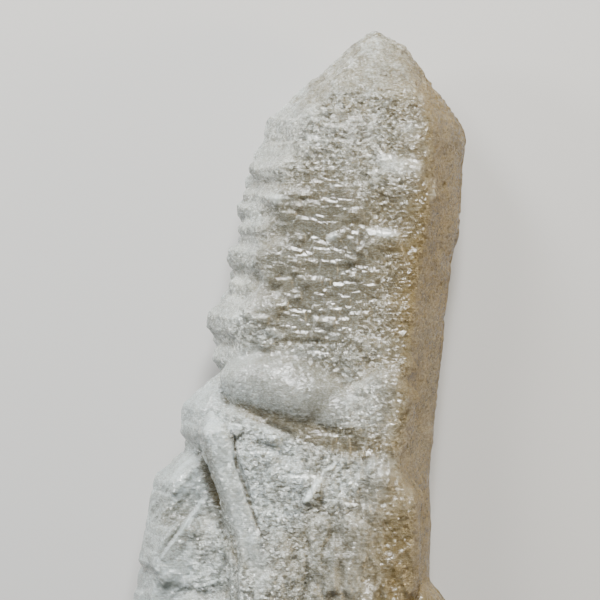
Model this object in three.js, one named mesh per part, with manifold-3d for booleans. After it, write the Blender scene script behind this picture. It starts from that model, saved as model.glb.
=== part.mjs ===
// A quartz floater: milky quartz that grew loose in its pocket, so that it is terminated at both ends
// and healed all round. One stout flattened crystal carries smaller ones in parallel growth, as a
// stepped flank on its left, a swelling across its front and a cluster of points at its foot.
// It lies on the flat prism face of its back. Millimetres: +Y runs up the crystal to its main point,
// +X runs across it, +Z is up, and the origin is on the ground under the middle of its outline.

import * as THREE from "three";
import { mergeVertices } from "three/addons/utils/BufferGeometryUtils.js";
import Module from "manifold-3d";

const wasm = await Module();
wasm.setup();

// The habit that every crystal here shares, in degrees.
const PYRAMID_TILT = 51.8; // from the long axis to the normal of a pyramid face
const MAIN_LEAN = 6.5; // the main crystal's long axis leans this far from +Y towards +X

// The main crystal: where its pyramid faces would meet seen from the front, and how far its prism
// faces stand from the long axis.
const TIP = [9.8, 46.3];
const MAIN_LENGTH = 74;
const MAIN_HALF_THICKNESS = 7.25;
const MAIN_LEFT_REACH = 10.2;
const MAIN_RIGHT_REACH = 9.3;

// Heights over the ground of the front, above and below the swelling, and how deep the axis of a
// growth plate lies under it.
const FRONT_Z = 2 * MAIN_HALF_THICKNESS;
const LOWER_FRONT_Z = 15.7;
const PLATE_DEPTH = 2.4;

const rad = THREE.MathUtils.degToRad;

// A closed three.js geometry as a solid that can be joined and cut.
function solidOf(geometry) {
  const bare = geometry.index ? geometry.toNonIndexed() : geometry.clone();
  bare.deleteAttribute("normal");
  bare.deleteAttribute("uv");
  const merged = mergeVertices(bare, 1e-5);
  return new wasm.Manifold(
    new wasm.Mesh({
      numProp: 3,
      vertProperties: merged.attributes.position.array,
      triVerts: new Uint32Array(merged.index.array),
    }),
  );
}

// Repeatable random numbers from 0 to 1.
function randomFrom(seed) {
  let state = seed;
  return () => {
    state = (state + 0x6d2b79f5) | 0;
    let t = Math.imul(state ^ (state >>> 15), 1 | state);
    t = (t + Math.imul(t ^ (t >>> 7), 61 | t)) ^ t;
    return ((t ^ (t >>> 14)) >>> 0) / 4294967296;
  };
}

// Keeps what lies behind the plane with this outward normal, this far from the origin.
function cut(solid, outward, distance) {
  return solid.trimByPlane(
    outward.map((n) => -n),
    -distance,
  );
}

// A six-sided prism with a six-sided pyramid at each end. tip is where the upper pyramid would meet,
// z the height of the axis; front, back, left and right are how far the prism faces stand from the
// axis. blunt pulls the alternate pyramid faces in, top first, so that the three others grow larger.
// chips are further planes, each an outward normal and its distance from the upper tip.
function crystal({ tip, length, z, front, back = front, left, right = left, ...more }) {
  const { lean = MAIN_LEAN, pitch = 0, roll = 0, blunt = [0, 0], chips = [] } = more;
  const half = length / 2;
  const wide = 4 * Math.max(front, back, left, right);
  const tilt = rad(PYRAMID_TILT);
  let solid = solidOf(new THREE.BoxGeometry(wide, length, wide));
  const sides = [
    [90, front],
    [30, right],
    [-30, right],
    [-90, back],
    [-150, left],
    [150, left],
  ];
  sides.forEach(([azimuth, reach], i) => {
    const across = Math.cos(rad(azimuth));
    const out = Math.sin(rad(azimuth));
    solid = cut(solid, [across, 0, out], reach);
    [1, -1].forEach((end, which) => {
      const pulled = i % 2 === which ? blunt[which] : 0;
      const normal = [across * Math.sin(tilt), end * Math.cos(tilt), out * Math.sin(tilt)];
      solid = cut(solid, normal, half * Math.cos(tilt) - pulled);
    });
  });
  for (const [normal, depth] of chips) {
    const n = new THREE.Vector3(...normal).normalize();
    solid = cut(solid, n.toArray(), n.y * half - depth);
  }
  const turn = new THREE.Euler(rad(pitch), rad(roll), rad(-lean), "ZYX");
  const axis = new THREE.Vector3(0, half, 0).applyEuler(turn);
  const place = new THREE.Matrix4().makeRotationFromEuler(turn);
  place.setPosition(tip[0] - axis.x, tip[1] - axis.y, z);
  return solid.transform(place.elements);
}

// The same crystal, placed by its outermost corner, where its outline turns from the upper pyramid
// to the prism: side -1 is the left corner and 1 the right one.
function shouldered({ shoulder, side = -1, left, right = left, lean = MAIN_LEAN, ...rest }) {
  const reach = side < 0 ? left : right;
  const across = (side * reach) / Math.cos(rad(30));
  const drop = reach * Math.tan(rad(PYRAMID_TILT));
  const sin = Math.sin(rad(lean));
  const cos = Math.cos(rad(lean));
  const tip = [shoulder[0] - across * cos + drop * sin, shoulder[1] + across * sin + drop * cos];
  return crystal({ tip, left, right, lean, ...rest });
}

// A smooth lump: a ball of the given half sizes, turned in the front's plane.
function lump({ at, half, turn = 0, pitch = 0, segments = 20 }) {
  const ball = new THREE.SphereGeometry(1, segments, Math.round(segments * 0.6));
  const place = new THREE.Matrix4().compose(
    new THREE.Vector3(...at),
    new THREE.Quaternion().setFromEuler(new THREE.Euler(rad(pitch), 0, rad(turn), "ZYX")),
    new THREE.Vector3(...half),
  );
  return solidOf(ball.applyMatrix4(place));
}

// The bodies that carry everything else: the main crystal with the layer along its right edge, and
// those that it bends into below.
function mainCrystals() {
  return [
    crystal({
      tip: TIP,
      length: MAIN_LENGTH,
      z: MAIN_HALF_THICKNESS,
      front: MAIN_HALF_THICKNESS,
      left: MAIN_LEFT_REACH,
      right: MAIN_RIGHT_REACH,
      blunt: [0.3, 0],
      chips: [
        [[0.36, 0.93, 0.05], 2.1],
        [[-0.25, 0.95, 0.3], 1.5],
      ],
    }),
    shouldered({ side: 1, shoulder: [18.8, 28.6], length: 27, lean: 5, z: 6.9, front: 6.2, left: 7.6 }),
    crystal({
      tip: [3.4, 13.5],
      length: 56,
      lean: 0.4,
      z: 7.85,
      front: 7.85,
      left: 11.9,
      right: 10.2,
      blunt: [0, 1.6],
    }),
    crystal({
      tip: [10.6, -11.5],
      length: 30,
      lean: 1,
      z: 7.4,
      front: 7.4,
      left: 6.4,
      right: 7.0,
      blunt: [0.4, 0.8],
    }),
  ];
}

// Growth layers that stand out one under the other along the main crystal's left edge, from the
// shoulder down: the place of each one's outer corner, how tall it is there and how far it reaches in.
function leftLedges() {
  const ledges = [
    [-4.6, 31.0, 0.7, 4.2],
    [-5.0, 29.4, 0.5, 6.4],
    [-5.5, 28.2, 0.9, 3.4],
    [-5.8, 26.4, 0.6, 7.0],
    [-6.4, 25.3, 1.2, 4.6],
    [-6.4, 22.8, 0.7, 6.6],
    [-6.5, 21.4, 0.4, 3.0],
    [-7.3, 20.1, 1.4, 7.2],
    [-7.2, 17.6, 0.6, 4.4],
    [-7.1, 16.6, 1.0, 3.4],
    [-8.4, 15.0, 0.8, 5.0],
    [-9.7, 13.1, 1.6, 6.8],
    [-9.2, 10.6, 0.5, 4.0],
    [-9.0, 9.0, 1.1, 6.0],
  ];
  return ledges.map(([x, y, tall, reach], i) => {
    const z = [7.0, 8.6, 6.4, 7.8][i % 4];
    return shouldered({
      shoulder: [x - 0.25, y],
      length: tall + 2 * reach * Math.tan(rad(PYRAMID_TILT)),
      z,
      front: FRONT_Z - z - (i % 3) * 0.5,
      back: 5.2,
      left: reach,
      pitch: 1.5,
    });
  });
}

// The side crystals of the left flank, each stepping out further than the one over it, and the bodies
// that they grow from.
function flankCrystals() {
  return [
    shouldered({ shoulder: [-12.6, 2.7], length: 13.6, lean: 5, z: 8.8, front: 3.9, left: 4.2 }),
    shouldered({ shoulder: [-12.4, -1.2], length: 9, lean: 6, z: 7.6, front: 2.6, left: 2.3 }),
    shouldered({ shoulder: [-15.7, -5.0], length: 20, lean: 11, z: 8.2, front: 3.7, left: 5.6, roll: 5 }),
    shouldered({ shoulder: [-16.6, -10.4], length: 16.4, lean: 13, z: 9.0, front: 4.1, left: 4.9 }),
    shouldered({ shoulder: [-17.5, -15.2], length: 19, lean: 10, z: 7.6, front: 4.4, left: 5.2, roll: -4 }),
    crystal({ tip: [-7.4, 2.4], length: 34, lean: 7, z: 6.6, front: 5.0, left: 5.2, blunt: [0.6, 0.4] }),
    crystal({ tip: [-9.0, -6.4], length: 26, lean: 8, z: 7.2, front: 5.4, left: 5.4, blunt: [0.5, 0.6] }),
    crystal({ tip: [-8.6, -12.6], length: 24, lean: 5, z: 9.6, front: 4.9, left: 5.4, blunt: [0.8, 0.3] }),
  ];
}

// The cluster of lower points, which close the foot of the floater.
function footCrystals() {
  return [
    crystal({ tip: [-5.6, -14], length: 27.5, lean: -4, z: 7.2, front: 6.6, left: 5.6, blunt: [0, 0.7] }),
    crystal({ tip: [3.2, -16], length: 27.0, lean: 6, z: 10.4, front: 5.2, left: 4.4, blunt: [0, 0.5] }),
    crystal({ tip: [8.4, -17], length: 23.5, lean: -3, z: 6.4, front: 5.6, left: 5.2, blunt: [0, 0.4] }),
    crystal({ tip: [-13.4, -17], length: 18.5, lean: 7, z: 6.9, front: 3.9, left: 3.7, blunt: [0, 0.2] }),
    crystal({ tip: [0.2, -24], length: 18, lean: -8, z: 4.6, front: 4.2, left: 3.4 }),
    shouldered({ side: 1, shoulder: [16.6, -20.4], length: 15.5, lean: 3, z: 8.8, front: 3.9, left: 3.5 }),
  ];
}

// One of the front's larger growth plates, which overlap downwards: its upper end stands proud of the
// front by rise, and its lower end runs into the stone.
function frontPlate({ length, width, rise, level = FRONT_Z, ...rest }) {
  const pitch = THREE.MathUtils.radToDeg(Math.atan2(rise, length / 2));
  const z = level - PLATE_DEPTH;
  return crystal({ length, pitch, z, front: PLATE_DEPTH, left: width / 2, ...rest });
}

function frontPlates() {
  const low = LOWER_FRONT_Z;
  return [
    frontPlate({ tip: [11.7, 31.9], length: 17, width: 8.6, rise: 0.75 }),
    frontPlate({ tip: [9.8, 24.0], length: 14, width: 5.6, rise: 0.7, lean: 4 }),
    frontPlate({ tip: [6.2, 23.0], length: 10, width: 3.6, rise: 0.5, lean: 9 }),
    frontPlate({ tip: [-3.2, 17.0], length: 12, width: 5.4, rise: 0.7, roll: -6 }),
    frontPlate({ tip: [11.2, 17.4], length: 14, width: 5.0, rise: 0.6, lean: 8 }),
    frontPlate({ tip: [7.4, 13.4], length: 13, width: 6.4, rise: 0.6, lean: 8 }),
    frontPlate({ tip: [10.2, 9.2], length: 15, width: 7.0, rise: 0.8, level: low - 0.4, lean: 9 }),
    frontPlate({ tip: [6.4, 0.6], length: 17, width: 9.0, rise: 0.75, level: low, lean: -5 }),
    frontPlate({ tip: [10.4, -2.4], length: 19, width: 6.4, rise: 0.5, level: low, lean: 2 }),
    frontPlate({ tip: [-2.2, -0.6], length: 17, width: 6.2, rise: 0.6, level: low, lean: -12 }),
    frontPlate({ tip: [4.4, -9.4], length: 17, width: 6.6, rise: 0.8, level: low, lean: 1 }),
    frontPlate({ tip: [-2.2, -12.6], length: 17, width: 6.0, rise: 0.8, level: low, lean: -5 }),
    frontPlate({ tip: [9.6, -13.4], length: 15, width: 5.4, rise: 0.7, level: low, lean: 3 }),
  ];
}

// The smooth swelling where the crystal once broke and healed, the roll under it and its bead.
function swelling() {
  return [
    lump({ at: [-0.6, 4.3, 12.2], half: [7.9, 4.5, 4.5], turn: -17, pitch: -5, segments: 40 }),
    lump({ at: [3.8, 2.2, 12.4], half: [5.8, 3.7, 3.9], turn: -30, pitch: -6, segments: 30 }),
    lump({ at: [-3.8, 0.2, 12.6], half: [5.0, 2.1, 3.2], turn: -24, segments: 24 }),
    lump({ at: [3.0, -2.2, 12.6], half: [5.2, 2.0, 3.2], turn: -16, segments: 22 }),
    lump({ at: [-2.7, -0.3, 15.1], half: [1.4, 1.1, 1.1], turn: -20, segments: 14 }),
  ];
}

// The long smooth blade that runs down from the swelling, and the valleys beside and around it.
const BLADE = { tip: [-9.5, 2.6], length: 23, lean: -17.5, z: 13.6, front: 1.8, back: 3, left: 1.7 };

function valleys() {
  return [
    lump({ at: [-9.4, -6.2, 15.6], half: [1.5, 6.6, 3.6], turn: 14, segments: 16 }),
    lump({ at: [-5.8, -4.6, 16.3], half: [0.4, 5.0, 1.9], turn: 18, segments: 12 }),
    lump({ at: [-3.2, 1.5, 17.0], half: [5.2, 0.7, 2.0], turn: -24, pitch: -18, segments: 18 }),
    lump({ at: [1.4, 9.9, 16.3], half: [8.0, 0.7, 2.1], turn: -2, segments: 16 }),
    lump({ at: [-3.0, -1.5, 16.6], half: [4.2, 0.55, 1.5], turn: -22, segments: 14 }),
  ];
}

// Low growth steps scattered over part of the front. Each stands proud by a little, with its small
// pyramid faces turned up towards the main point. wide and long bound its half width and its length.
function growthSteps({ seed, count, low, high, level, proud, wide, long }) {
  const random = randomFrom(seed);
  const between = (from, to) => from + (to - from) * random();
  return Array.from({ length: count }, () => {
    const y = between(low[1], high[1]);
    const x = between(low[0], high[0]) + Math.tan(rad(MAIN_LEAN)) * (y - low[1]);
    const thickness = between(0.6, 1.2);
    return crystal({
      tip: [x, y],
      length: 2 * thickness + between(...long),
      lean: MAIN_LEAN + between(-3, 3),
      z: level - thickness + proud * between(0.5, 1),
      front: thickness,
      left: between(...wide),
      right: between(...wide),
    });
  });
}

function frontSteps() {
  const window = { low: [-3.4, 11], high: [5.6, 28], level: FRONT_Z, proud: 0.34 };
  const rightEdge = { low: [10.4, 4], high: [12.4, 18], level: FRONT_Z, proud: 0.5 };
  const foot = { low: [-5, -32], high: [11, -8], level: LOWER_FRONT_Z, proud: 0.7 };
  const short = { wide: [0.6, 1.9], long: [0.2, 1.0] };
  const tall = { wide: [0.5, 1.3], long: [3, 8] };
  return [
    ...growthSteps({ seed: 5, count: 56, ...window, ...short }),
    ...growthSteps({ seed: 8, count: 14, ...rightEdge, ...short }),
    ...growthSteps({ seed: 3, count: 56, ...foot, ...tall }),
  ];
}

// Shallow pits in the back, which leave the flat that the stone lies on between them.
function backPits() {
  const random = randomFrom(21);
  const between = (from, to) => from + (to - from) * random();
  return Array.from({ length: 16 }, () => {
    const y = between(-30, 33);
    const half = between(0.9, 2.0);
    return crystal({
      tip: [4.8 + 0.11 * (y - 6) + between(-6.0, 6.0), y],
      length: 2 * half + between(1.5, 6),
      z: -half + between(0.25, 0.7),
      front: half,
      left: between(0.9, 2.0),
    });
  });
}

// Joins the small crystals that are well rooted in the stone, and leaves out any that are not.
function grownOver(stone, small) {
  const rooted = small.filter((one) => one.intersect(stone).volume() > 0.4 * one.volume());
  return rooted.reduce((whole, next) => whole.add(next), stone);
}

// Everything joined into one stone, hollowed at its valleys and flat where it lies.
function floater() {
  const grown = [
    ...mainCrystals(),
    ...leftLedges(),
    ...flankCrystals(),
    ...footCrystals(),
    ...frontPlates(),
    ...swelling(),
  ];
  let stone = grown.reduce((whole, next) => whole.add(next));
  stone = grownOver(stone, frontSteps());
  stone = [...valleys(), ...backPits()].reduce((whole, next) => whole.subtract(next), stone);
  stone = stone.add(crystal(BLADE));
  return cut(stone, [0, 0, -1], 0);
}

// Moves the stone so that the origin is under the middle of its outline, on the ground.
function centred(stone) {
  const { min, max } = stone.boundingBox();
  return stone.translate([-(min[0] + max[0]) / 2, -(min[1] + max[1]) / 2, -min[2]]);
}

function geometryOf(solid) {
  const mesh = solid.getMesh();
  return new THREE.BufferGeometry()
    .setAttribute("position", new THREE.BufferAttribute(mesh.vertProperties, 3))
    .setIndex(new THREE.BufferAttribute(mesh.triVerts, 1));
}

const milkyQuartz = new THREE.MeshStandardMaterial({
  color: 0xbdb7a8,
  roughness: 0.35,
  metalness: 0,
  flatShading: true,
});

const floaterMesh = new THREE.Mesh(geometryOf(centred(floater())), milkyQuartz);
floaterMesh.name = "quartz_floater";

const root = new THREE.Group();
root.add(floaterMesh);

export default root;
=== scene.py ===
"""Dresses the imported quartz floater: grows its frosting, ledges and pits over the solid, gives it the
finish of milky quartz, and sets it on a pale floor under soft studio light."""

import itertools
import math

import bmesh
import bpy
import numpy as np
from mathutils import Matrix, Vector


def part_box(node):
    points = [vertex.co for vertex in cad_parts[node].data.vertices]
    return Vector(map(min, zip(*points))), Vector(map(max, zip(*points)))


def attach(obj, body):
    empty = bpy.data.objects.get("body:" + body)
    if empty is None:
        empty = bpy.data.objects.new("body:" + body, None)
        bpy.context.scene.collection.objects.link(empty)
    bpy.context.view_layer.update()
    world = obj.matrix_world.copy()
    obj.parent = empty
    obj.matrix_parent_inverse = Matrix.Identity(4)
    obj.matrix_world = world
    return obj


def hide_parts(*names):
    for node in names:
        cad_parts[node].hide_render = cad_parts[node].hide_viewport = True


bl_info = {
    "name": "Quartz floater",
    "version": (1, 0, 0),
    "blender": (4, 5, 0),
    "location": "3D View > Sidebar > Quartz",
    "description": "Grows the fine surface of a milky quartz floater over its solid and lights it",
    "category": "Object",
}

NODE = "quartz_floater"

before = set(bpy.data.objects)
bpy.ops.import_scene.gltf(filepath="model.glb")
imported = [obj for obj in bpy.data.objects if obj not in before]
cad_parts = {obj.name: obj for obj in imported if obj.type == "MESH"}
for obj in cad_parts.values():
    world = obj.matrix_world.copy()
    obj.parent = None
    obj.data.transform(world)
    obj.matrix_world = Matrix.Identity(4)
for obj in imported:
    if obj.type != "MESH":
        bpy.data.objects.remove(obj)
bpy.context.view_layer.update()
LOW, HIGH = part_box(NODE)

MM = 0.001

# How the camera sees the stone: straight down on its front, from this far over the middle of its
# thickness. The picture is 600 by 600, and in it the main point and the right shoulder, which are the
# highest and the rightmost of the stone, stand at these pixels.
PICTURE = 600
PIXEL = 0.112 * MM
CAMERA_HEIGHT = 220 * MM
MIDDLE_HEIGHT = 7.25 * MM
POINT_PIXEL_Y = 31
SHOULDER_PIXEL_X = 467
CENTRE = Vector(
    (
        HIGH.x - (SHOULDER_PIXEL_X - PICTURE / 2) * PIXEL,
        HIGH.y - (PICTURE / 2 - POINT_PIXEL_Y) * PIXEL,
        MIDDLE_HEIGHT,
    )
)

# The main crystal's long axis, in millimetres and degrees: it leans from +Y towards +X.
MAIN_LEAN = math.radians(6.5)


def linear(colour):
    """The linear value of an sRGB hex colour."""
    parts = [int(colour[i : i + 2], 16) / 255 for i in (1, 3, 5)]
    return tuple(c / 12.92 if c <= 0.04045 else ((c + 0.055) / 1.055) ** 2.4 for c in parts)


# Noise over points in millimetres, each an array with one row to a point.

# The noise's random numbers are in tables of this many rows, a power of two.
TABLE_ROWS = 256
# What brings smooth noise to about -1 to 1.
NOISE_GAIN = 1.6


def row_of(table, cells):
    """Which row of random numbers belongs to each cell, given the cell's whole numbers."""
    row = 0
    for cell in cells:
        row = table[row + (cell & (TABLE_ROWS - 1))]
    return row


def smooth_noise(points, size, seed):
    """Noise from about -1 to 1 whose bumps are about size wide: one number, or one to each axis."""
    rng = np.random.default_rng(seed)
    table = np.tile(rng.permutation(TABLE_ROWS), 2)
    arrows = rng.normal(size=(TABLE_ROWS, 3))
    arrows /= np.linalg.norm(arrows, axis=1, keepdims=True)
    scaled = points / np.asarray(size, float)
    cell = np.floor(scaled).astype(int)
    inside = scaled - cell
    fade = inside**3 * (inside * (inside * 6 - 15) + 10)
    total = np.zeros(len(points))
    for corner in itertools.product((0, 1), repeat=3):
        arrow = arrows[row_of(table, (cell + corner).T)]
        weight = np.prod(np.where(np.array(corner) == 1, fade, 1 - fade), axis=1)
        total += weight * np.einsum("ij,ij->i", arrow, inside - corner)
    return NOISE_GAIN * total


def layered_noise(points, size, seed, octaves=3):
    """Smooth noise with finer and weaker noise laid over it."""
    total = sum(
        smooth_noise(points, np.asarray(size, float) / 2**i, seed + i) / 2**i for i in range(octaves)
    )
    return total / (2 - 2 / 2**octaves)


def ridged_noise(points, size, seed):
    """Noise whose ridges are sharp and whose hollows are wide, from about 0 to 1."""
    return np.clip(1 - 1.8 * np.abs(smooth_noise(points, size, seed)), 0, 1)


def nearest_seed(points, size, seed):
    """For points among seeds scattered one to a cell of this size: the distance to the nearest seed,
    with the cell's size as the unit, and that seed's own random number."""
    rng = np.random.default_rng(seed)
    table = np.tile(rng.permutation(TABLE_ROWS), 2)
    places = rng.random((TABLE_ROWS, 3))
    numbers = rng.random(TABLE_ROWS)
    scaled = points / np.asarray(size, float)
    cell = np.floor(scaled).astype(int)
    nearest = np.full(len(points), np.inf)
    number = np.zeros(len(points))
    for step in itertools.product((-1, 0, 1), repeat=3):
        at = cell + step
        row = row_of(table, at.T)
        distance = np.linalg.norm(scaled - at - places[row], axis=1)
        nearer = distance < nearest
        nearest = np.where(nearer, distance, nearest)
        number = np.where(nearer, numbers[row], number)
    return nearest, number


def pits(points, size, share, seed):
    """Small round pits in a share of the cells, 1 at the bottom of each."""
    distance, number = nearest_seed(points, size, seed)
    return (1 - ramp(distance, *PIT_RIM)) * (number < share)


def ramp(value, start, end):
    """0 at start and before, 1 at end and past it, and smooth between."""
    t = np.clip((value - start) / (end - start), 0, 1)
    return t * t * (3 - 2 * t)


def patch(points, centre, half, turn=0.0, soft=0.35):
    """1 inside an ellipse on the front, falling to 0 over the soft share of its size outside it."""
    x = points[:, 0] - centre[0]
    y = points[:, 1] - centre[1]
    a = math.radians(turn)
    across = (x * math.cos(a) + y * math.sin(a)) / half[0]
    along = (y * math.cos(a) - x * math.sin(a)) / half[1]
    return 1 - ramp(np.hypot(across, along), 1 - soft, 1 + soft)


def patches(points, table):
    """The sum of a table's patches, each as strong as its last number."""
    return sum(
        amount * patch(points, (x, y), (wide, tall), turn, PATCH_SOFT)
        for x, y, wide, tall, turn, amount in table
    )


def from_line(points, x1, y1, x2, y2):
    """Looking down on the front, how far each point is from a line, whether it's left of the line, and
    a weight that is 1 halfway along the line and 0 past its ends."""
    along = np.array((x2 - x1, y2 - y1))
    way = points[:, :2] - (x1, y1)
    share = np.clip(way @ along / (along @ along), 0, 1)
    away = np.linalg.norm(way - share[:, None] * along, axis=1)
    left = along[0] * way[:, 1] - along[1] * way[:, 0] > 0
    return away, left, np.sqrt(4 * share * (1 - share))


def ridges(points):
    """The height of the front's sharp steps and of the fissure, how much whiter the quartz is there,
    which is partly painted highlight on the steps and painted shade along the fissure, and 1 round
    about them."""
    height = np.zeros(len(points))
    whiter_with_painted_light = np.zeros(len(points))
    near = np.zeros(len(points))
    uneven = 1 + 0.3 * smooth_noise(points, 1.3, seed=83)
    # The last number paints the quartz whiter: highlights on the steps, shade along the fissure.
    for *ends, tall, steep, white_and_painted_light in RIDGES:
        away, left, middle = from_line(points, *ends)
        width = np.where(left & (tall > 0), GENTLE_SIDE, 1) * steep
        height += tall * np.clip(1 - away / width, 0, 1) * middle * uneven
        whiter_with_painted_light += white_and_painted_light * (1 - ramp(away, 0.3 * steep, 1.3 * steep)) * middle
        near = np.maximum(near, away < RIDGE_REACH)
    return height, whiter_with_painted_light, near


def up_the_crystal(points, lean=MAIN_LEAN):
    """The points with their second number measured up the leaning crystal and the first across it."""
    turned = points.copy()
    turned[:, 0] = points[:, 0] * math.cos(lean) - points[:, 1] * math.sin(lean)
    turned[:, 1] = points[:, 1] * math.cos(lean) + points[:, 0] * math.sin(lean)
    return turned


# The front's larger growth plates, in millimetres in the row's frame: the middle of each upper edge,
# the edge's length, how far the plate reaches below it, its height, and the edge's turn in degrees.
SINGLE_PLATES = (
    (6.9, 18.6, 1.3, 1.2, 0.20, 14),
    (9.5, 20.1, 4.4, 1.6, 0.42, -4),
    (11.5, 27.9, 5.4, 5.0, 0.40, -12),
    (14.9, 25.2, 2.6, 2.4, 0.34, -62),
    (8.9, 27.0, 2.6, 3.0, 0.30, 24),
    (-2.3, 24.2, 2.2, 2.0, 0.24, -4),
    (-5.2, 23.4, 2.4, 2.6, 0.30, 6),
    (-6.9, 19.9, 2.6, 2.4, 0.30, 12),
    (-7.1, 12.9, 2.8, 2.6, 0.34, 20),
    (-3.9, 11.2, 2.2, 1.6, 0.24, -6),
    (3.1, 10.9, 2.6, 1.6, 0.24, -4),
    (-1.6, 12.6, 1.8, 1.4, 0.22, 8),
    (-6.4, -1.1, 1.3, 0.9, 0.18, -16),
    (-2.9, -0.6, 1.4, 1.4, 0.14, 24),
    (2.0, -7.4, 3.4, 1.2, 0.34, 58),
    (4.6, -4.4, 2.6, 1.2, 0.26, 52),
    (7.6, -3.6, 1.8, 1.6, 0.24, 12),
    (9.8, -5.6, 2.0, 2.0, 0.24, -10),
    (-13.0, -3.6, 4.2, 2.6, 0.30, 44),
    (-12.2, -6.6, 4.0, 1.8, 0.26, 48),
)

# Where the front is whiter than round about, partly frost and partly painted highlights on the
# steps that catch the light, in millimetres in the row's frame: the middle, the half sizes, the turn
# in degrees and how much whiter.
FROST_AND_PAINTED_HIGHLIGHT_PATCHES = (
    (9.6, 20.5, 1.7, 0.5, -6, 0.7),
    (11.3, 27.8, 3.0, 1.1, -10, 0.4),
    (12.4, 31.8, 0.9, 0.7, 0, 0.4),
    (14.5, 29.4, 0.7, 0.6, 0, 0.4),
    (15.1, 25.1, 0.6, 1.5, -20, 0.5),
    (-2.8, 24.2, 1.8, 0.5, 0, 0.5),
    (-4.9, 22.4, 1.1, 1.3, 0, 0.4),
    (-5.5, 19.1, 1.2, 0.9, 10, 0.4),
    (-7.1, 13.2, 1.6, 1.3, 20, 0.3),
    (-6.5, 11.4, 1.3, 0.8, 0, 0.35),
    (0.1, 11.0, 1.7, 0.9, 0, 0.35),
    (-2.9, 9.4, 1.8, 0.7, 0, 0.35),
    (3.8, 9.7, 1.3, 0.8, 0, 0.3),
    (0.5, 7.5, 2.6, 0.9, -4, 0.3),
    (-5.3, 7.4, 1.9, 0.8, 10, 0.3),
    (7.5, 2.4, 2.6, 2.6, 0, 0.25),
    (4.0, -7.2, 0.5, 2.4, -20, 0.4),
    (5.4, -6.6, 0.5, 2.8, -28, 0.45),
    (6.9, -6.0, 0.5, 2.6, -36, 0.4),
    (9.2, -4.4, 1.6, 1.4, 0, 0.3),
    (-11.9, -4.1, 2.4, 0.6, 45, 0.4),
    (-13.3, -8.4, 1.6, 0.6, 45, 0.3),
    (-15.7, -17.6, 2.6, 2.2, 0, 0.3),
    (-9.8, -17.0, 3.2, 1.8, 0, 0.3),
)

# Where one sees furthest in, in the same way: the valleys round the swelling, the recess beside the
# blade, and the clearer side crystals. In the valleys and the recess their darker colour is partly
# clear quartz and partly painted shade.
CLEAR_AND_PAINTED_SHADE_PATCHES = (
    (1.6, -1.2, 5.6, 0.9, -24, 0.7),
    (6.4, -2.0, 3.8, 1.3, -12, 0.6),
    (-4.6, 1.0, 3.6, 0.6, -24, 0.6),
    (-9.7, -4.6, 1.0, 3.8, 17, 0.8),
    (-8.3, -8.4, 0.7, 1.4, 17, 0.8),
    (-6.6, -13.2, 0.7, 2.2, 14, 0.7),
    (-13.0, -10.8, 2.6, 3.0, 20, 0.5),
    (-14.6, -5.2, 1.6, 1.4, 40, 0.5),
    (9.9, 36.6, 1.1, 1.2, 0, 0.4),
    (10.6, 18.7, 1.5, 0.5, -8, 0.8),
    (8.8, 23.0, 2.6, 1.8, 0, 0.35),
    (12.9, 16.0, 2.6, 6.5, -5, 0.4),
)

# Hollows of the solid that the quartz has grown over, in the same way, with how far they are filled.
FILLED_PATCHES = (
    (-2.8, 20.0, 2.4, 7.5, -6, 0.6),
    (-6.4, -1.5, 1.7, 1.4, 0, 0.9),
    (1.4, -9.0, 1.2, 1.0, 0, 0.8),
    (-2.9, -2.2, 2.6, 1.0, -24, 0.3),
)

# Sharp steps on the front, and the fissure beside the blade, in millimetres in the row's frame: both
# ends, the height, the width of the steep side, and how much whiter the quartz is there: on the steps
# partly frost and partly painted highlights, along the fissure painted shade. The gentle side of a
# step is on the left as one goes from its first end to its second.
RIDGES = (
    (-11.0, -3.9, -14.5, -7.3, 0.34, 0.32, 0.6),
    (-9.7, -8.2, -14.7, -15.1, 0.40, 0.34, 0.6),
    (-13.2, -11.6, -15.4, -14.4, 0.24, 0.30, 0.4),
    (2.6, -5.9, 0.9, -8.8, 0.26, 0.30, 1.0),
    (4.5, -4.2, 2.8, -5.6, 0.20, 0.26, 0.6),
    (4.6, 20.4, 3.2, 19.6, 0.22, 0.45, 1.0),
    (-1.6, 24.2, -3.0, 24.5, 0.20, 0.45, 1.0),
    (14.9, 26.4, 15.2, 24.4, 0.14, 0.30, 0.9),
    (-5.7, -0.8, -7.3, -0.4, 0.24, 0.45, 1.0),
    # The fissure: painted shade along it.
    (-6.7, -1.4, -6.3, -5.2, -0.34, 0.24, -0.8),
    (-6.7, -3.7, -3.6, -12.6, -0.36, 0.24, -0.8),
)
# How far round the steps the skin is finer, and how many times wider a step's gentle side is.
RIDGE_REACH = 0.9
GENTLE_SIDE = 4

# The share of its size over which a patch fades, and of a cell over which a pit's rim rises.
PATCH_SOFT = 0.5
PIT_RIM = (0.12, 0.34)

# The front's different surfaces, in millimetres in the row's frame: the middle of each, its half
# sizes, its turn in degrees, and the share of its size over which it fades.
SWELLING = ((-1.1, 3.6), (7.2, 4.5), -20, 0.25)
BLADE = ((-6.4, -8.2), (1.6, 9.6), 17.6, 0.25)
WINDOW = ((2.4, 17.0), (7.0, 10.5), -6.5, 0.4)
FEATHERS = ((6.0, -6.5), (6.0, 5.0), 0, 0.4)
GRANULAR = ((-2.6, -6.4), (3.6, 5.2), 12, 0.4)

# The right side's edge leans towards +X by this much a millimetre as it goes up. Distances across
# the stone follow its lean, and are the same as X at this height.
EDGE_LEAN = 0.11
EDGE_MIDDLE = 6

# How the solid's hollows are filled and its sharpest edges rounded: how many times over, how much of
# the way at a time for each, how much of an edge's and of a hollow's distance to the smoothed stone
# counts, in millimetres, and the band beside the left ledges that is rounded too, given like the
# surfaces above.
SOFTENING_PASSES = 3
MOST_FILLED = 0.9
ROUNDED_SHARE = 0.7
SOFTENED_RANGE = (-0.6, 1)
LEDGE_BAND = ((-2.3, 18.5), (1.9, 6.5), -6)

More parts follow.
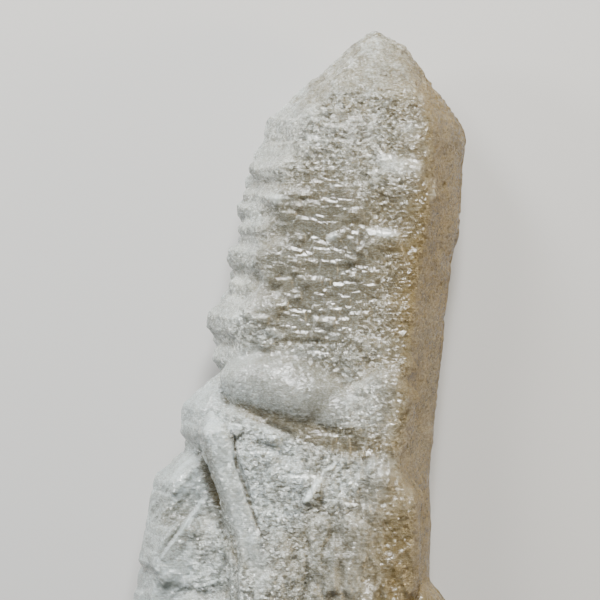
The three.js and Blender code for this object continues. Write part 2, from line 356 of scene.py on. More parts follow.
# The slope at a growth plate's sides, the slope of the larger plates' end faces, and for the small
# plates' end faces the least steepness and how much steeper some are, in degrees.
SIDE_SLOPE = 0.6
END_SLOPE = math.tan(math.radians(25))
SMALL_END_DEGREES = 22
STEEPER_DEGREES = 7
# How far the small plates' edges turn, in radians, and their sizes against their cell's: the least,
# and how much more the largest have. Only a few are large.
PLATE_TURN = math.radians(18)
LEAST_PLATE = 0.35
MORE_PLATE = 1.15

# Faces steeper than this are sides, and their noise is laid out this far from the front's.
SIDE_NORMAL = 0.6
SIDES_AWAY = 40

# How much each surface has of the frosting, of the tan and of the clearness.
FROST_SHARES = {
    "flank": 0.1,
    "feathers": 0.08,
    "swelling": -0.02,
    "blade": 0.5,
    "granular": 0.25,
    "window": -0.36,
    "right_edge": -0.25,
}
TAN_SHARES = {"granular": -0.4, "flank": -0.3}
CLEAR_SHARES = {"window": 1, "flank": 0.75, "swelling": 0.85, "blade": 0.6, "waxy": 0.65}
# How much calmer the sugary grains are: the sum of the first ones up to their limit, or the strongest
# of the others.
CALM_SHARES = {"swelling": 0.9, "blade": 0.92, "window": 0.9}
MOST_CALM = 0.92
CALMER_SIDES = {"waxy": 0.75, "flank": 0.6}


# Where the stone's surface changes, in millimetres in the row's frame, as weights from 0 to 1.


def across_stone(points):
    """How far across the stone each point is, with its right edge as the upright."""
    return points[:, 0] - EDGE_LEAN * (points[:, 1] - EDGE_MIDDLE)


def up_the_swelling(points):
    """How far up the swelling's slope each point is from its middle."""
    (x, y), _, turn, _ = SWELLING
    a = math.radians(turn)
    return (points[:, 1] - y) * math.cos(a) - (points[:, 0] - x) * math.sin(a)


def regions(points, normals):
    """The weights of the stone's different surfaces at each point."""
    x, y, z = points.T
    across = across_stone(points)
    front = ramp(normals[:, 2], 0.35, 0.75)
    swelling = patch(points, *SWELLING) * ramp(z, 12, 14)
    blade = patch(points, *BLADE) * ramp(z, 13, 14.5)
    foot = ramp(-y, 9, 15) * ramp(z, 8, 13)
    flank = ramp(-x + 0.2 * y, 7.4, 9.4) * ramp(-y, -4.5, -2.5)
    return {
        "front": front,
        "swelling": swelling,
        "blade": blade,
        "window": patch(points, *WINDOW) * front * (1 - swelling),
        "right_edge": ramp(across, 10.6, 12.2),
        "feathers": patch(points, *FEATHERS) * front,
        "foot": foot * (1 - flank),
        "flank": flank * (1 - blade),
        "tip": ramp(y + 0.1 * x, 33, 36),
        "granular": patch(points, *GRANULAR) * front * (1 - blade),
        "waxy": np.maximum(ramp(x, -3, 4) * ramp(-y, 8, 13), 0.8 * ramp(across, 6.5, 10.5)),
    }


def summed(weight, shares):
    """The sum of some surfaces' weights, each times its share."""
    return sum(share * weight[name] for name, share in shares.items())


def strongest(weight, shares):
    """The largest of some surfaces' weights, each times its share."""
    return np.max([share * weight[name] for name, share in shares.items()], axis=0)


def plate(x, y, turn, length, reach, rise, slope):
    """The height of a small growth plate, and 1 on the face that ends it. The plate is highest along
    its upper edge, which is this long, sinks into the stone this far below that edge, and drops
    steeply beyond it. X and y are measured from the edge's middle, and turn is how the edge turns."""
    across = x * np.cos(turn) + y * np.sin(turn)
    beyond = y * np.cos(turn) - x * np.sin(turn)
    top = rise * (1 + beyond / reach)
    end = rise - slope * beyond
    sides = (length / 2 - np.abs(across)) * SIDE_SLOPE
    height = np.maximum(np.minimum(np.minimum(top, end), sides), 0)
    on_end = (height > 0.1 * rise) & (end <= top) & (end <= sides)
    return height, on_end


def highest(plates):
    """The height and the end faces of plates that overlap, of which the highest shows."""
    height = 0
    ends = 0
    for one, on_end in plates:
        higher = one > height
        height = np.where(higher, one, height)
        ends = np.where(higher, on_end, ends)
    return height, ends


def plate_field(points, cell, rise, share, seed):
    """Many growth plates, at most one to a cell, of which this share is there. The points' first number
    is measured across the plates and their second up them."""
    rng = np.random.default_rng(seed)
    table = np.tile(rng.permutation(TABLE_ROWS), 2)
    numbers = rng.random((TABLE_ROWS, 6))
    across, along = points[:, 0], points[:, 1]
    column = np.floor(across / cell[0]).astype(int)
    row = np.floor(along / cell[1]).astype(int)
    for i, j in itertools.product(range(-2, 3), range(-2, 4)):
        picked = numbers[row_of(table, (column + i, row + j))]
        right, up, largeness, rareness, turned, steepness = picked.T
        size = LEAST_PLATE + MORE_PLATE * largeness**2
        height, on_end = plate(
            across - (column + i + right) * cell[0],
            along - (row + j + up) * cell[1],
            (turned - 0.5) * PLATE_TURN,
            1.5 * size * cell[0],
            1.9 * size * cell[1],
            rise * (0.4 + 0.6 * size),
            np.tan(np.radians(SMALL_END_DEGREES + STEEPER_DEGREES * steepness)),
        )
        yield height * (rareness < share), on_end


def single_plates(points):
    """The front's larger growth plates."""
    for x, y, length, reach, rise, turn in SINGLE_PLATES:
        right, up = points[:, 0] - x, points[:, 1] - y
        yield plate(right, up, math.radians(turn), length, reach, rise, END_SLOPE)


def around(points, normals):
    """The points laid out on the faces they're on: how far round the crystal, and how far up it."""
    leaned = up_the_crystal(points)
    sideways = np.abs(normals[:, 2]) < SIDE_NORMAL
    leaned[:, 0] = np.where(sideways, points[:, 2] + SIDES_AWAY, leaned[:, 0])
    return leaned


def relief(points, normals, settings):
    """How far each point of the smooth stone moves out along its normal, in millimetres, and how much
    it lies on a small flat face that ends a growth plate."""
    weight = regions(points, normals)
    ledge = settings.ledge_height / MM

    # The sugary grains, and the waves under them.
    calm = np.clip(summed(weight, CALM_SHARES), 0, MOST_CALM)
    calm = np.maximum(calm, strongest(weight, CALMER_SIDES))
    grains = 0.5 * ridged_noise(points, 0.8, seed=11)
    grains += 1.2 * smooth_noise(points, (0.7, 0.4, 0.5), seed=13) - 0.2
    height = settings.grain_height / MM * (1 - calm) * grains
    waves = 0.16 * smooth_noise(points, 5.5, seed=23) + 0.09 * smooth_noise(points, 2.4, seed=29)
    height += waves * (1 - 0.6 * weight["tip"]) * (1 - 0.75 * weight["window"])
    sugar = 0.11 * smooth_noise(points, 0.45, seed=17)
    sugar += 0.12 * (ridged_noise(points, 1.0, seed=19) - 0.4)
    height += sugar * weight["tip"]

    # The growth plates: small ones in the window, broad ones elsewhere, and the single ones over both.
    wavy = around(points, normals)
    wavy[:, 1] += 0.2 * smooth_noise(points, 4.0, seed=37)
    small, small_ends = highest(plate_field(wavy, (1.1, 0.72), ledge, share=0.9, seed=31))
    broad, broad_ends = highest(plate_field(wavy, (2.4, 1.5), 0.95 * ledge, share=0.75, seed=33))
    plain = (1 - weight["swelling"]) * (1 - weight["blade"]) * (1 - 0.8 * weight["waxy"])
    elsewhere = plain * (1 - weight["window"]) * (1 - 0.6 * weight["foot"])
    height += small * weight["window"] + broad * elsewhere
    glint = small_ends * weight["window"] + 0.9 * broad_ends * elsewhere
    large, large_ends = highest(single_plates(points))
    large_weight = ramp(normals[:, 2], 0.3, 0.7)
    height += large * large_weight
    glint = np.maximum(glint * (large < 0.05), large_ends * large_weight)
    # The steps' painted highlight also marks their smooth faces.
    ridge_height, ridge_white_and_painted_light, _ = ridges(points)
    height += ridge_height * weight["front"]
    glint = np.maximum(glint, np.clip(ridge_white_and_painted_light, 0, 1) * weight["front"])

    # The feathers that fan out below the swelling, and the ridges of the foot's crystals.
    stretched = up_the_crystal(points, math.radians(2))
    fan = stretched.copy()
    fan[:, 0] += 0.16 * (points[:, 0] - 5) * (points[:, 1] + 2) / 6
    height += 0.25 * ridged_noise(fan, (0.9, 4.5, 3), seed=41) * weight["feathers"]
    height += 0.28 * (ridged_noise(stretched, (1.3, 3.6, 4), seed=47) - 0.4) * weight["foot"]

    # Striations up the swelling's upper part, and rows of steps on the flank and the right edge.
    striated = weight["swelling"] * ramp(points[:, 1] + 0.25 * points[:, 0], 4.4, 6.0)
    streaks = smooth_noise(up_the_crystal(points, math.radians(-28)), (0.4, 2.6, 3), seed=53)
    height += 0.06 * streaks * striated
    steps = ridged_noise(up_the_crystal(points, math.radians(-42)), (6.0, 1.1, 2), seed=59)
    height += 0.12 * steps * weight["flank"]
    rows = smooth_noise(up_the_crystal(points), (5.0, 0.9, 4), seed=61)
    height += 0.06 * rows * weight["right_edge"]

    # Pits, most of them on the right side.
    holes = pits(points, (1.1, 1.6, 1.1), share=0.22, seed=67) * (0.2 + 0.8 * weight["right_edge"])
    pitted = (1 - weight["window"]) * (1 - weight["swelling"]) * (1 - 0.8 * weight["flank"])
    height -= 0.25 * holes * pitted
    return height, np.clip(glint, 0, 1)


# The stone's mesh.

MERGED_WITHIN = 0.001 * MM
# The skin is finer where its points' weight is over this.
FINER_FROM = 0.25
# How the stone is smoothed to find its hollows: how strongly, and how many times over.
HOLLOW_FACTOR = 0.8
HOLLOW_PASSES = 40


def read_points(mesh):
    points = np.empty(len(mesh.vertices) * 3)
    mesh.vertices.foreach_get("co", points)
    return points.reshape(-1, 3) / MM


def read_normals(mesh):
    normals = np.empty(len(mesh.vertices) * 3)
    mesh.vertices.foreach_get("normal", normals)
    return normals.reshape(-1, 3)


def merged_copy(node, name):
    """A new object with the solid's mesh, its loose triangles merged."""
    mesh = node.data.copy()
    mesh.materials.clear()
    solid = bmesh.new()
    solid.from_mesh(mesh)
    bmesh.ops.remove_doubles(solid, verts=solid.verts, dist=MERGED_WITHIN)
    solid.to_mesh(mesh)
    solid.free()
    copy = bpy.data.objects.new(name, mesh)
    bpy.context.scene.collection.objects.link(copy)
    return copy


def apply_modifiers(piece):
    """Puts what the piece's modifiers make into its mesh."""
    depsgraph = bpy.context.evaluated_depsgraph_get()
    made = bpy.data.meshes.new_from_object(piece.evaluated_get(depsgraph))
    piece.modifiers.clear()
    piece.data = made


def weathered(piece, settings):
    """Turns the faceted solid into a fine skin with its edges rounded."""
    remesh = piece.modifiers.new("fine skin", "REMESH")
    remesh.mode = "VOXEL"
    remesh.voxel_size = settings.skin_spacing
    smooth = piece.modifiers.new("rounded edges", "SMOOTH")
    smooth.factor = 0.5
    smooth.iterations = settings.rounding
    apply_modifiers(piece)


def finer_front(piece):
    """Halves the skin's spacing where the front has its finest ledges and ridges."""
    mesh = piece.data
    points = read_points(mesh)
    weight = regions(points, read_normals(mesh))
    wanted = np.maximum(weight["window"], weight["feathers"])
    wanted = np.maximum(wanted, weight["swelling"] * ramp(points[:, 1], 3, 5))
    wanted = np.maximum(wanted, ridges(points)[2] * weight["front"])
    skin = bmesh.new()
    skin.from_mesh(mesh)
    skin.verts.ensure_lookup_table()
    edges = [e for e in skin.edges if min(wanted[v.index] for v in e.verts) > FINER_FROM]
    bmesh.ops.subdivide_edges(skin, edges=edges, cuts=1, use_grid_fill=True)
    bmesh.ops.triangulate(skin, faces=skin.faces)
    skin.to_mesh(mesh)
    skin.free()


def soften(piece):
    """Fills the hollows that the quartz has grown over, and rounds the edge along the right side, the
    one under the tip, and the knobs beside the left ledges."""
    mesh = piece.data
    for _ in range(SOFTENING_PASSES):
        points = read_points(mesh)
        normals = read_normals(mesh)
        filled = np.clip(patches(points, FILLED_PATCHES), 0, MOST_FILLED) * ramp(normals[:, 2], -0.2, 0.3)
        edges = np.maximum(ramp(across_stone(points), 7, 9), ramp(points[:, 1], 28, 31))
        rounded = np.maximum(edges, patch(points, *LEDGE_BAND)) * ramp(normals[:, 2], 0.2, 0.4)
        hollow = np.clip(hollowness(piece), *SOFTENED_RANGE)
        share = np.where(hollow > 0, filled, ROUNDED_SHARE * rounded)
        points += normals * share[:, None] * hollow[:, None]
        mesh.vertices.foreach_set("co", (points * MM).ravel())
        mesh.update()


def grow_relief(piece, settings):
    """Moves the skin out and in, and keeps where the small flat faces are."""
    mesh = piece.data
    points = read_points(mesh)
    normals = read_normals(mesh)
    height, glint = relief(points, normals, settings)
    points += normals * height[:, None]
    points = np.clip(points, np.array(LOW) / MM, np.array(HIGH) / MM)
    mesh.vertices.foreach_set("co", (points * MM).ravel())
    mesh.update()
    write_values(mesh, "glint", glint)


def thinned(piece, most):
    """Keeps the piece under this many triangles, larger where the stone is flatter."""
    mesh = piece.data
    decimate = piece.modifiers.new("fewer triangles", "DECIMATE")
    decimate.ratio = min(1.0, most / len(mesh.polygons))
    apply_modifiers(piece)


def facet(piece):
    """Leaves the frosted skin in small flat faces, and smooths what the stone has smooth."""
    mesh = piece.data
    points = read_points(mesh)
    weight = regions(points, read_normals(mesh))
    smooth = np.maximum(weight["swelling"], weight["blade"])
    smooth = np.maximum(smooth, 0.7 * weight["right_edge"])
    first = np.empty(len(mesh.polygons), int)
    mesh.polygons.foreach_get("loop_start", first)
    corner = np.empty(len(mesh.loops), int)
    mesh.loops.foreach_get("vertex_index", corner)
    mesh.polygons.foreach_set("use_smooth", smooth[corner[first]] > 0.5)


def write_values(mesh, name, values):
    """Keeps a number from 0 to 1 at each point for the material."""
    layer = mesh.attributes.new(name, "FLOAT", "POINT")
    layer.data.foreach_set("value", np.clip(values, 0, 1).astype(np.float32))


def hollowness(piece):
    """How far each point lies below the smoothed stone, in millimetres: negative on edges."""
    copy = piece.copy()
    bpy.context.scene.collection.objects.link(copy)
    smooth = copy.modifiers.new("smoothed", "SMOOTH")
    smooth.factor = HOLLOW_FACTOR
    smooth.iterations = HOLLOW_PASSES
    apply_modifiers(copy)
    way = read_points(copy.data) - read_points(piece.data)
    bpy.data.objects.remove(copy)
    return np.einsum("ij,ij->i", way, read_normals(piece.data))


def write_finish(piece):
    """Keeps for the material, at each point, how frosted, how clear and how tan the quartz is, with painted
    light and shade laid into the frost and the tan.
    """
    mesh = piece.data
    points = read_points(mesh)
    weight = regions(points, read_normals(mesh))
    front = weight["front"]
    hollow = hollowness(piece)
    broad = layered_noise(points, 6.0, seed=71)
    fleck = layered_noise(points, 1.1, seed=73)
    mottle = layered_noise(points, 1.9, seed=79)
    _, y, z = points.T
    across = across_stone(points)
    # Low on the sides, where the stone is painted lighter: painted light over the shade there.
    low = 1 - ramp(z, 2, 9)
    # Towards the left, where the frost is painted whiter: partly frost and partly painted light from the
    # lights at the upper left.
    left = 1 - ramp(across, -7.5, -0.5)
    right = ramp(across, 5, 9)
    # Where one sees in, with painted shade in the valleys and the recess.
    seen_into_and_painted_shade = np.clip(patches(points, CLEAR_AND_PAINTED_SHADE_PATCHES), 0, 1) * front

    # Frosting, with painted light and shade laid into it: flecked, and up the crystal; whitest on the left,
    # partly frost and partly painted light from the lights at the upper left; less in the valleys, which is
    # painted shade, and more on the edges, which is a painted rim of light.
    frost = 0.2 + 0.1 * ramp(y, 26, 33) + 0.27 * left + 0.25 * broad
    frost += 0.2 * fleck * (1 - 0.6 * weight["flank"])
    # Patches and steps, partly frost and partly painted highlights, and painted shade along the fissure.
    frost += (patches(points, FROST_AND_PAINTED_HIGHLIGHT_PATCHES) + ridges(points)[1]) * front
    frost += (0.4 * mottle + 0.6 * fleck - 0.28) * weight["tip"]
    frost += summed(weight, FROST_SHARES) - 0.04 * up_the_swelling(points) * weight["swelling"]
    frost += 0.2 * ramp(-y, -5, 2) * right - 0.1 * right
    # More frost on the sides away from the right; low on the sides it is painted light over the shade there.
    frost += 0.12 * (1 - front) * (1 - ramp(across, 5, 10)) + 0.15 * low
    # Painted shade in the hollows and a painted rim of light on the edges.
    painted_valley_shade_and_rim = (0.8 - 0.6 * left + 0.2 * weight["feathers"]) * (1 - 0.5 * weight["waxy"])
    frost -= painted_valley_shade_and_rim * np.clip(hollow, -0.35, 0.5) + 0.8 * seen_into_and_painted_shade

    # Tan: iron stain in the hollows; towards the right partly iron stain and partly painted warm light from
    # the lamp's side; and little of it low on the sides, which is painted light that lightens the shade
    # there.
    tan = 0.12 + 0.12 * ramp(y, 5, 12) + 0.85 * ramp(across, 5.5, 12.5) + 0.2 * broad
    tan += 0.4 * np.clip(hollow, 0, 0.5) + 0.2 * seen_into_and_painted_shade + 0.15 * ramp(-y, 4, 12) * ramp(across, -3, 3)
    tan += summed(weight, TAN_SHARES) - 0.4 * weight["tip"] * left
    # Less tan low on the sides: painted light over the shade there.
    tan -= 0.45 * low + 0.3 * front * ramp(across, 6.5, 10)

    # Clear quartz: the smoother faces, and the valleys away from the left.
    clear_valleys = 0.6 * (1 - left) * ramp(hollow, 0.1, 0.5)
    clear = np.maximum(strongest(weight, CLEAR_SHARES), np.maximum(clear_valleys, seen_into_and_painted_shade))
    for name, values in {"frost": frost, "tan": tan, "clear": clear}.items():
        write_values(mesh, name, values)


# Materials.

# The fine patterns: how many bumps there are to a millimetre along X, Y and Z, and how far the
# pattern turns about +Z, in degrees. The net's ridges are half a millimetre apart, and the sugary
# grains are about a third of a millimetre wide, each with its own flat face.
NET = ((1.9, 1.4, 1.9), 8)
STROKES = ((3.6, 7.5, 6.0), 6)
GRAINS = ((2.6, 4.4, 3.4), 0)
LINES = ((0.7, 4.5, 1.2), 5)
GRAIN_STEEPNESS = 1.6
NET_BUMP = 0.08 * MM
GRAIN_BUMP = 0.28 * MM
LINE_BUMP = 0.2 * MM

QUARTZ_IOR = 1.544
# How far red, green and blue light wander inside, against each other.
WANDER = (1.0, 0.92, 0.8)


def add_node(tree, kind, inputs=None, **attributes):
    """Adds a node: attributes are its own, and inputs says what its sockets get, each a value or
    another node's output."""
    node = tree.nodes.new(kind)
    for name, value in attributes.items():
        setattr(node, name, value)
    for socket, value in (inputs or {}).items():
        if isinstance(value, bpy.types.NodeSocket):
            tree.links.new(value, node.inputs[socket])
        else:
            node.inputs[socket].default_value = value
    return node


def new_material(name):
    material = bpy.data.materials.new(name)
    material.use_nodes = True
    material.node_tree.nodes.clear()
    return material


def laid_out(tree, place, scale, turn=0):
    """The place with its axes scaled, then turned about +Z by this many degrees."""
    inputs = {"Vector": place, "Scale": scale, "Rotation": (0, 0, math.radians(turn))}
    return add_node(tree, "ShaderNodeMapping", inputs).outputs[0]


def noise(tree, place, detail, roughness=0.5, scale=1.0):
    inputs = {"Vector": place, "Scale": scale, "Detail": detail, "Roughness": roughness}
    return add_node(tree, "ShaderNodeTexNoise", inputs).outputs[0]


def carried(tree, value, start, end, low, high):
    """The value carried from the range between start and end to the one between low and high."""
    inputs = {0: value, 1: start, 2: end, 3: low, 4: high}
    return add_node(tree, "ShaderNodeMapRange", inputs).outputs[0]


def reckoned(tree, operation, *values, clamped=False):
    """What a sum of two or three values or outputs comes to."""
    inputs = dict(enumerate(values))
    return add_node(tree, "ShaderNodeMath", inputs, operation=operation, use_clamp=clamped).outputs[0]


def mixed(tree, share, first, second, blend_type="MIX"):
    """The colour between two, each a colour or an output."""
    inputs = {0: share, 6: first, 7: second}
    return add_node(tree, "ShaderNodeMix", inputs, data_type="RGBA", blend_type=blend_type).outputs[2]


def bumped(tree, height, distance, strength, under=None):
    """The normal of a bumpy surface, over another such surface where one is given."""
    inputs = {"Height": height, "Distance": distance, "Strength": strength}
    if under is not None:
        inputs["Normal"] = under
    return add_node(tree, "ShaderNodeBump", inputs).outputs[0]


def tilted_facets(tree, place, steepness):
    """Cells of the given place's unit size, each a flat facet tilted its own way: the height of its
    surface, and the cell's random colour."""
    cells = add_node(tree, "ShaderNodeTexVoronoi", {"Scale": 1.0, "Vector": place}, feature="F1")
    way = add_node(
        tree, "ShaderNodeVectorMath", {0: place, 1: cells.outputs["Position"]}, operation="SUBTRACT"
    )
    lean = add_node(
        tree,
        "ShaderNodeVectorMath",
        {0: cells.outputs["Color"], 1: (steepness,) * 3, 2: (-steepness / 2,) * 3},
        operation="MULTIPLY_ADD",
    )
    height = add_node(
        tree, "ShaderNodeVectorMath", {0: way.outputs[0], 1: lean.outputs[0]}, operation="DOT_PRODUCT"
    )
    return height.outputs["Value"], cells.outputs["Color"]


def milky_quartz(settings):
    """Milky quartz, grown and never polished: clouded with tiny bubbles, so that light goes a few
    millimetres in and comes back out, and frosted by steps and grains that flash where they face
    the light. It's whitest on the frosting, with painted glints and highlights and a painted rim of
    light laid into it, greyer where one sees into it and where shade is painted in the valleys, and
    tan from iron and, towards the right, from painted warm light."""
    material = new_material("milky quartz, natural frosted faces")
    tree = material.node_tree
    place = add_node(tree, "ShaderNodeTexCoord").outputs["Object"]
    in_mm = laid_out(tree, place, (1 / MM,) * 3)
    frost, tan, clear, glint = (
        add_node(tree, "ShaderNodeAttribute", attribute_name=name).outputs["Fac"]
        for name in ("frost", "tan", "clear", "glint")
    )

    # Under the frosting a net of fine ridges runs up the crystal a little, with the grains over it.
    net = add_node(
        tree,
        "ShaderNodeTexNoise",
        {
            "Vector": laid_out(tree, in_mm, *NET),
            "Scale": 1.0,
            "Detail": 3.0,
            "Roughness": 0.62,
            "Offset": 0.9,
            "Gain": 1.6,
        },
        noise_type="RIDGED_MULTIFRACTAL",
    ).outputs[0]
    strokes = noise(tree, laid_out(tree, in_mm, *STROKES), detail=2.0, roughness=0.6)
    grain_height, grain_colour = tilted_facets(tree, laid_out(tree, in_mm, *GRAINS), GRAIN_STEEPNESS)
    lines = noise(tree, laid_out(tree, in_mm, *LINES), detail=3.0, roughness=0.6)
    clouds = noise(tree, in_mm, detail=3.0, scale=0.4)

    # The colour: clouded body to tan, whitened by frost in flecks, which is tinted on the tan; the
    # flecks' light strokes are partly frost and partly painted glints. A few of the frost's strokes are
    # painted near white as glints, where the quartz isn't clear, and clouds darken it all.
    body = mixed(tree, tan, (*settings.milky, 1), (*settings.tan, 1))
    # Light strokes in the frost: partly frost and partly painted glints.
    fleck_and_painted_glint = carried(tree, strokes, 0.44, 0.7, -0.13, 0.5)
    grain_value = add_node(tree, "ShaderNodeSeparateColor", {0: grain_colour}).outputs[0]
    flecks_and_painted_glints = reckoned(tree, "MULTIPLY_ADD", grain_value, 0.2, fleck_and_painted_glint)
    calmer = carried(tree, tan, 0, 1, 1, 0.35)
    whiter_with_painted_light = reckoned(tree, "MULTIPLY_ADD", flecks_and_painted_glints, calmer, frost, clamped=True)
    tinted = mixed(tree, tan, (*settings.frost, 1), (*settings.tan_frost, 1))
    frosted = mixed(tree, whiter_with_painted_light, body, tinted)
    dry = reckoned(tree, "MULTIPLY_ADD", clear, -0.8, frost, clamped=True)
    # Painted glints: a few strokes turned near white.
    painted_glint_share = reckoned(tree, "MULTIPLY", carried(tree, strokes, 0.6, 0.74, 0, 0.7), dry)
    with_painted_glints = mixed(tree, painted_glint_share, frosted, (*settings.painted_glint, 1))
    shade = carried(tree, clouds, 0.3, 0.7, 0.72, 1)
    colour = mixed(tree, 1.0, with_painted_glints, shade, "MULTIPLY")
    clearness = carried(tree, clear, 0, 1, settings.frosted_clearness, settings.clearness)

    # Clear faces are duller than the frost's tiny ones, and the small faces that end the growth
    # plates are the smoothest, so that they flash whole.
    dull = carried(tree, clear, 0, 1, 0.11, 0.15)
    shine = reckoned(tree, "MULTIPLY_ADD", glint, -0.08, dull, clamped=True)
    roughness = reckoned(tree, "MAXIMUM", shine, 0.07)

    smooth_share = reckoned(tree, "MAXIMUM", clear, glint)
    frost_strength = carried(tree, smooth_share, 0, 1, 0.8, 0.12)
    net_bump = bumped(tree, net, NET_BUMP, frost_strength)
    grain_bump = bumped(tree, grain_height, GRAIN_BUMP, frost_strength, net_bump)
    line_strength = carried(tree, glint, 0, 1, 0.35, 0)
    surface = add_node(
        tree,
        "ShaderNodeBsdfPrincipled",
        {
            "IOR": QUARTZ_IOR,
            "Subsurface Weight": settings.milkiness,
            "Subsurface Radius": WANDER,
            "Subsurface Scale": settings.light_depth,
            "Base Color": colour,
            "Roughness": roughness,
            "Normal": bumped(tree, lines, LINE_BUMP, line_strength, grain_bump),
            "Transmission Weight": clearness,
        },
    )
    inside = add_node(
        tree,
        "ShaderNodeVolumeAbsorption",
        {"Color": (*settings.depth_colour, 1), "Density": settings.depth_density},
    )
    add_node(
        tree, "ShaderNodeOutputMaterial", {"Surface": surface.outputs[0], "Volume": inside.outputs[0]}
    )
    return material


def matt_paper(settings):
    """Matt paper, the plain floor: no shine, so that only the stone's soft shadow shows on it."""
    material = new_material("matt pale paper")
    tree = material.node_tree
    surface = add_node(
        tree,
        "ShaderNodeBsdfPrincipled",
        {"Base Color": (*settings.floor, 1), "Roughness": 0.9, "Specular IOR Level": 0.1},
    )
    add_node(tree, "ShaderNodeOutputMaterial", {"Surface": surface.outputs[0]})
    return material


# The stage.

# The lights: where each stands from the middle of the stone, its width and height, its power in
# watts, and which of the stage's colours it has.
LIGHTS = (
    ("window", (-0.25, 0.30, 0.24), (0.12, 0.16), 2.6, "window"),
    ("pane", (0.04, 0.33, 0.29), (0.12, 0.24), 7.1, "window"),
    ("wall", (-0.38, 0.12, 0.15), (0.08, 0.08), 1.3, "window"),
    ("lamp", (0.36, -0.02, 0.13), (0.10, 0.10), 0.9, "lamp"),
)
ROOM_STRENGTH = 0.15


def area_light(name, place, size, power, colour):
    data = bpy.data.lights.new(name, "AREA")
    data.shape = "RECTANGLE"
    data.size, data.size_y = size
    data.energy = power
    data.color = colour
    lamp = bpy.data.objects.new(name, data)
    lamp.location = CENTRE + Vector(place)
    lamp.rotation_euler = (-Vector(place)).to_track_quat("-Z", "Y").to_euler()
    bpy.context.scene.collection.objects.link(lamp)


def floor_piece(size):
    sheet = bmesh.new()
    bmesh.ops.create_grid(sheet, x_segments=1, y_segments=1, size=size / 2)
    bmesh.ops.translate(sheet, verts=sheet.verts, vec=(CENTRE.x, CENTRE.y, LOW.z))
    mesh = bpy.data.meshes.new("floor")
    sheet.to_mesh(mesh)
    sheet.free()
    floor = bpy.data.objects.new("floor", mesh)
    bpy.context.scene.collection.objects.link(floor)
    return floor


class QuartzSettings(bpy.types.PropertyGroup):
    """The stone's fine surface and its finish."""

    skin_spacing: bpy.props.FloatProperty(
        name="Skin spacing", description="Spacing of the fine skin", default=0.25 * MM, unit="LENGTH"
    )
    rounding: bpy.props.IntProperty(
        name="Rounding", description="Smoothing passes over the edges", default=5, min=0, max=40
    )
    grain_height: bpy.props.FloatProperty(
        name="Grain height", description="Height of the sugary grains", default=0.045 * MM, unit="LENGTH"
    )
    ledge_height: bpy.props.FloatProperty(
        name="Ledge height", description="Height of the growth ledges", default=0.17 * MM, unit="LENGTH"
    )
    most_triangles: bpy.props.IntProperty(
        name="Most triangles", description="The finished skin stays under this", default=192000
    )
    milky: bpy.props.FloatVectorProperty(
        name="Milky", description="Clouded quartz", default=linear("#7f7c6d"), subtype="COLOR"
    )
    # Tan: iron stain, and towards the right partly painted warm light.
    tan: bpy.props.FloatVectorProperty(
        name="Tan", description="Iron-stained quartz", default=linear("#7b673a"), subtype="COLOR"
    )
    # Also the colour of the painted highlights and of the painted rim of light.
    frost: bpy.props.FloatVectorProperty(
        name="Frost", description="Frosted faces", default=linear("#c6cecb"), subtype="COLOR"
    )
    tan_frost: bpy.props.FloatVectorProperty(
        name="Tan frost", description="Frost over tan quartz", default=linear("#b0a488"), subtype="COLOR"
    )
    # The near-white colour of the painted glints.
    painted_glint: bpy.props.FloatVectorProperty(
        name="Spark", description="The brightest grains", default=linear("#eef2f4"), subtype="COLOR"
    )
    clearness: bpy.props.FloatProperty(
        name="Clearness", description="Share of light that passes clear faces", default=0.5, subtype="FACTOR"
    )
    frosted_clearness: bpy.props.FloatProperty(
        name="Frosted clearness", description="The same where frosted", default=0.28, subtype="FACTOR"
    )
    milkiness: bpy.props.FloatProperty(
        name="Milkiness", description="Share scattered inside", default=0.7, subtype="FACTOR"
    )
    depth_colour: bpy.props.FloatVectorProperty(
        name="Depth colour",
        description="What light turns to inside",
        default=linear("#cfc8b4"),
        subtype="COLOR",
    )
    depth_density: bpy.props.FloatProperty(
        name="Depth density", description="How fast light is lost inside, per metre", default=60.0, min=0.0
    )
    light_depth: bpy.props.FloatProperty(
        name="Light depth", description="How far light wanders inside", default=1.1 * MM, unit="LENGTH"
    )


class StageSettings(bpy.types.PropertyGroup):
    """The floor and the lights."""

    floor: bpy.props.FloatVectorProperty(
        name="Floor", description="Colour of the floor", default=linear("#a5a39f"), subtype="COLOR"
    )
    floor_size: bpy.props.FloatProperty(
        name="Floor size", description="Width of the floor", default=1.6, unit="LENGTH"
    )
    window: bpy.props.FloatVectorProperty(
        name="Window light", description="Cool main light", default=linear("#f8fafc"), subtype="COLOR"
    )
    lamp: bpy.props.FloatVectorProperty(
        name="Lamp light", description="Warm side light", default=linear("#ffe2ae"), subtype="COLOR"
    )
    room: bpy.props.FloatVectorProperty(
        name="Room light", description="Soft light from all round", default=linear("#dadbd9"), subtype="COLOR"
    )


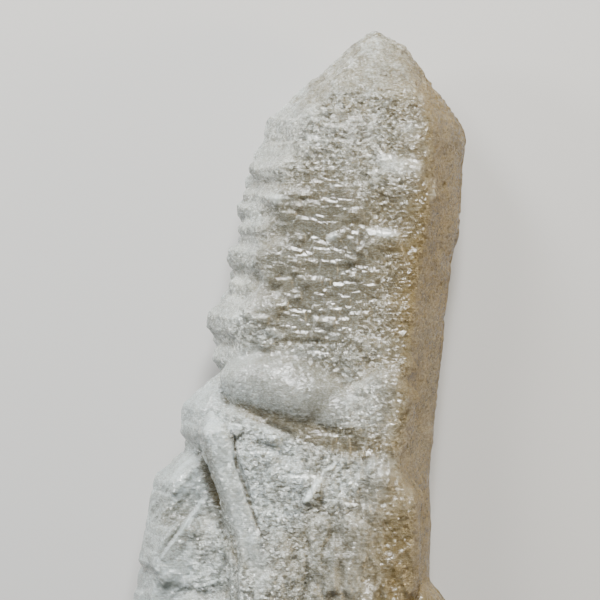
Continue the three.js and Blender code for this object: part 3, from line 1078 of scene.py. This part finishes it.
class QUARTZ_OT_stone(bpy.types.Operator):
    """Grow the fine skin of the floater over its solid"""

    bl_idname = "quartz.stone"
    bl_label = "Stone"

    def execute(self, context):
        settings = context.scene.quartz
        stone = merged_copy(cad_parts[NODE], "quartz_floater_dressed")
        weathered(stone, settings)
        soften(stone)
        finer_front(stone)
        grow_relief(stone, settings)
        thinned(stone, settings.most_triangles)
        write_finish(stone)
        facet(stone)
        stone.data.materials.append(milky_quartz(settings))
        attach(stone, "root")
        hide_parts(NODE)
        return {"FINISHED"}


class QUARTZ_OT_stage(bpy.types.Operator):
    """Lay the floor and set the lights and the camera"""

    bl_idname = "quartz.stage"
    bl_label = "Stage"

    def execute(self, context):
        settings = context.scene.quartz_stage
        floor = floor_piece(settings.floor_size)
        floor.data.materials.append(matt_paper(settings))
        for name, place, size, power, colour in LIGHTS:
            area_light(name, place, size, power, getattr(settings, colour))
        world = bpy.data.worlds.new("room")
        world.use_nodes = True
        background = world.node_tree.nodes["Background"]
        background.inputs["Color"].default_value = (*settings.room, 1)
        background.inputs["Strength"].default_value = ROOM_STRENGTH
        context.scene.world = world

        data = bpy.data.cameras.new("camera")
        data.lens = data.sensor_width * CAMERA_HEIGHT / (PICTURE * PIXEL)
        camera = bpy.data.objects.new("camera", data)
        camera.matrix_world = Matrix.Translation(CENTRE + Vector((0, 0, CAMERA_HEIGHT)))
        context.scene.collection.objects.link(camera)
        context.scene.camera = camera
        return {"FINISHED"}


class QUARTZ_PT_panel(bpy.types.Panel):
    """Lists the steps that dress the stone"""

    bl_label = "Quartz floater"
    bl_idname = "QUARTZ_PT_panel"
    bl_space_type = "VIEW_3D"
    bl_region_type = "UI"
    bl_category = "Quartz"

    def draw(self, context):
        for step in (QUARTZ_OT_stone, QUARTZ_OT_stage):
            self.layout.operator(step.bl_idname)


CLASSES = (QuartzSettings, StageSettings, QUARTZ_OT_stone, QUARTZ_OT_stage, QUARTZ_PT_panel)


def register():
    for cls in CLASSES:
        bpy.utils.register_class(cls)
    bpy.types.Scene.quartz = bpy.props.PointerProperty(type=QuartzSettings)
    bpy.types.Scene.quartz_stage = bpy.props.PointerProperty(type=StageSettings)


def unregister():
    del bpy.types.Scene.quartz_stage
    del bpy.types.Scene.quartz
    for cls in reversed(CLASSES):
        bpy.utils.unregister_class(cls)


def main():
    register()
    bpy.ops.quartz.stone()
    bpy.ops.quartz.stage()


if __name__ == "__main__":
    main()
